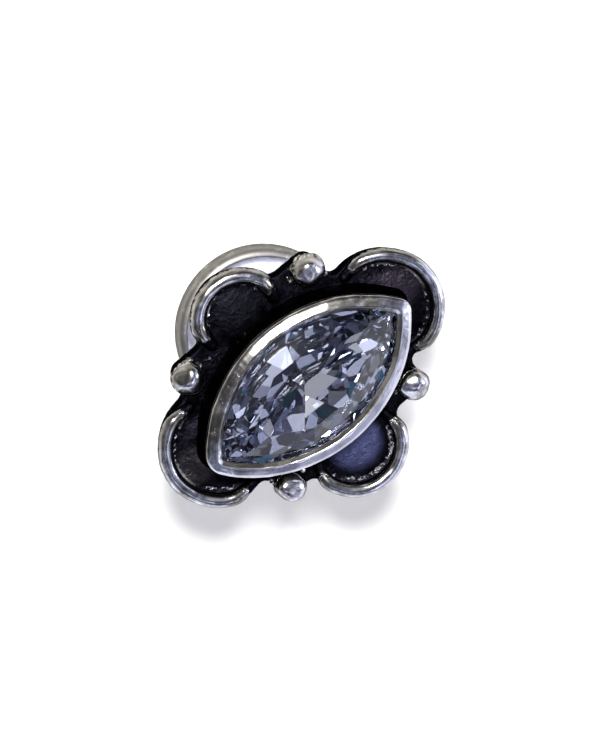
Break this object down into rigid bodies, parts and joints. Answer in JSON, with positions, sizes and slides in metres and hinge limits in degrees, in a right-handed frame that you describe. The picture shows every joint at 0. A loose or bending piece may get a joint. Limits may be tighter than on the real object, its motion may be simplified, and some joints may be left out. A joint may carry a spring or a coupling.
{
  "type": "nose stud",
  "caption": "Darkened silver nose stud: a clear marquise stone in a bezel on a four-lobed plate with wire scrolls and granules, on a post with a round disc back.",
  "frame": {"origin": "middle of the disc's back face, which the stud stands on", "axes": "+X along the stone's long axis, +Y across the stone, +Z from the disc to the stone"},
  "size_m": [0.0098, 0.0084, 0.0079],
  "materials": {
    "darkened_silver": "polished high spots over blackened recesses",
    "clear_stone": "faceted and polished",
    "polished_silver": "hand polished"
  },
  "bodies": {
    "root": {"setting": "darkened_silver", "marquise_stone": "clear_stone", "disc_back": "polished_silver"}
  },
  "joints": []
}
